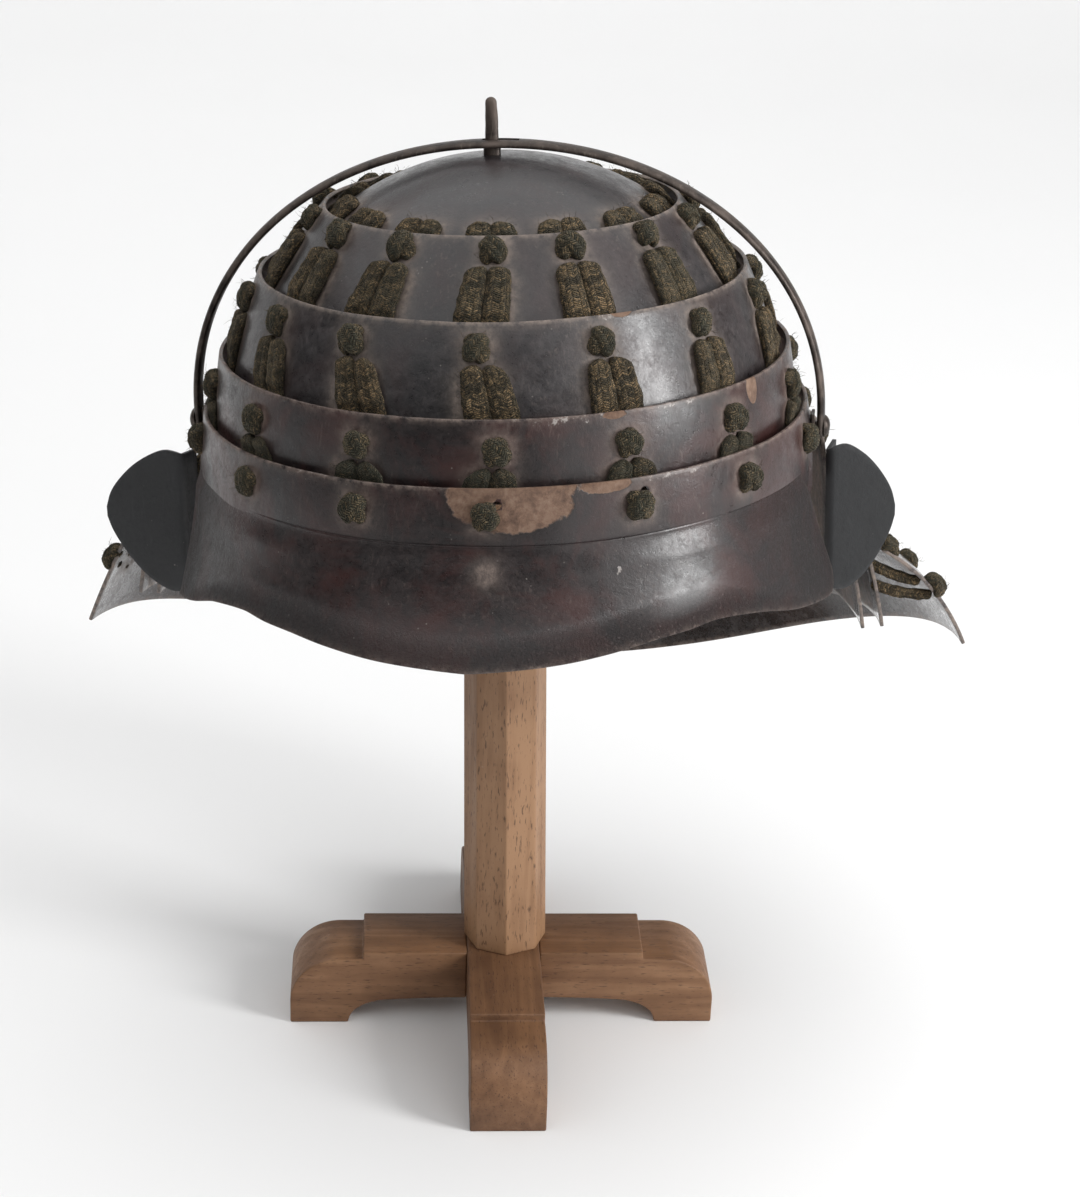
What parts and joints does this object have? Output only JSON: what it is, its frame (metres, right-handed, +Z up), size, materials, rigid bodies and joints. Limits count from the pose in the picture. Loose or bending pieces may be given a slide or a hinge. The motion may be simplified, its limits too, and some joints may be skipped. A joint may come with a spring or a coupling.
{
  "type": "laced kabuto helmet on a wooden stand",
  "caption": "Samurai helmet of lacquered iron rings laced with braided cord, with a flared peak, turned-back ears, a neck guard and an arched strap, on a cross-footed wooden stand.",
  "frame": {"origin": "middle of the base of the box around the whole object, on the surface the stand stands on", "axes": "+Z up, along the stand's post; the peak faces -Y and the neck guard +Y; +X is to the right as seen from in front of the peak"},
  "size_m": [0.3562, 0.3048, 0.3954],
  "materials": {
    "lacquer_dark": "dark grey-black lacquer with a worn sheen",
    "lacquer_brown": "brown-black lacquer with a worn sheen",
    "lacquer_matt": "matt charcoal lacquer, finely grained",
    "iron": "dull dark brown forged iron",
    "lace": "worn olive-brown braided silk",
    "wood": "waxed mid-brown open-pored wood"
  },
  "bodies": {
    "root": {"top_plate": "lacquer_dark", "lame_2": "lacquer_dark", "lame_3": "lacquer_dark", "lame_4": "lacquer_brown", "lame_5": "lacquer_brown", "peak": "lacquer_brown", "neck_lame_1": "lacquer_dark", "neck_lame_2": "lacquer_dark", "neck_lame_3": "lacquer_dark", "neck_lame_4": "lacquer_dark", "ear_left": "lacquer_matt", "ear_right": "lacquer_matt", "lacing_01": "lace", "lacing_02": "lace", "lacing_03": "lace", "lacing_04": "lace", "lacing_05": "lace", "lacing_06": "lace", "lacing_07": "lace", "lacing_08": "lace", "lacing_09": "lace", "lacing_10": "lace", "lacing_11": "lace", "lacing_12": "lace", "lacing_13": "lace", "lacing_14": "lace", "strap": "iron", "top_post": "iron", "strap_bracket_left": "iron", "strap_bracket_right": "iron", "strap_rivet_left": "iron", "strap_rivet_right": "iron", "stand_base": "wood", "stand_post": "wood"}
  },
  "joints": []
}
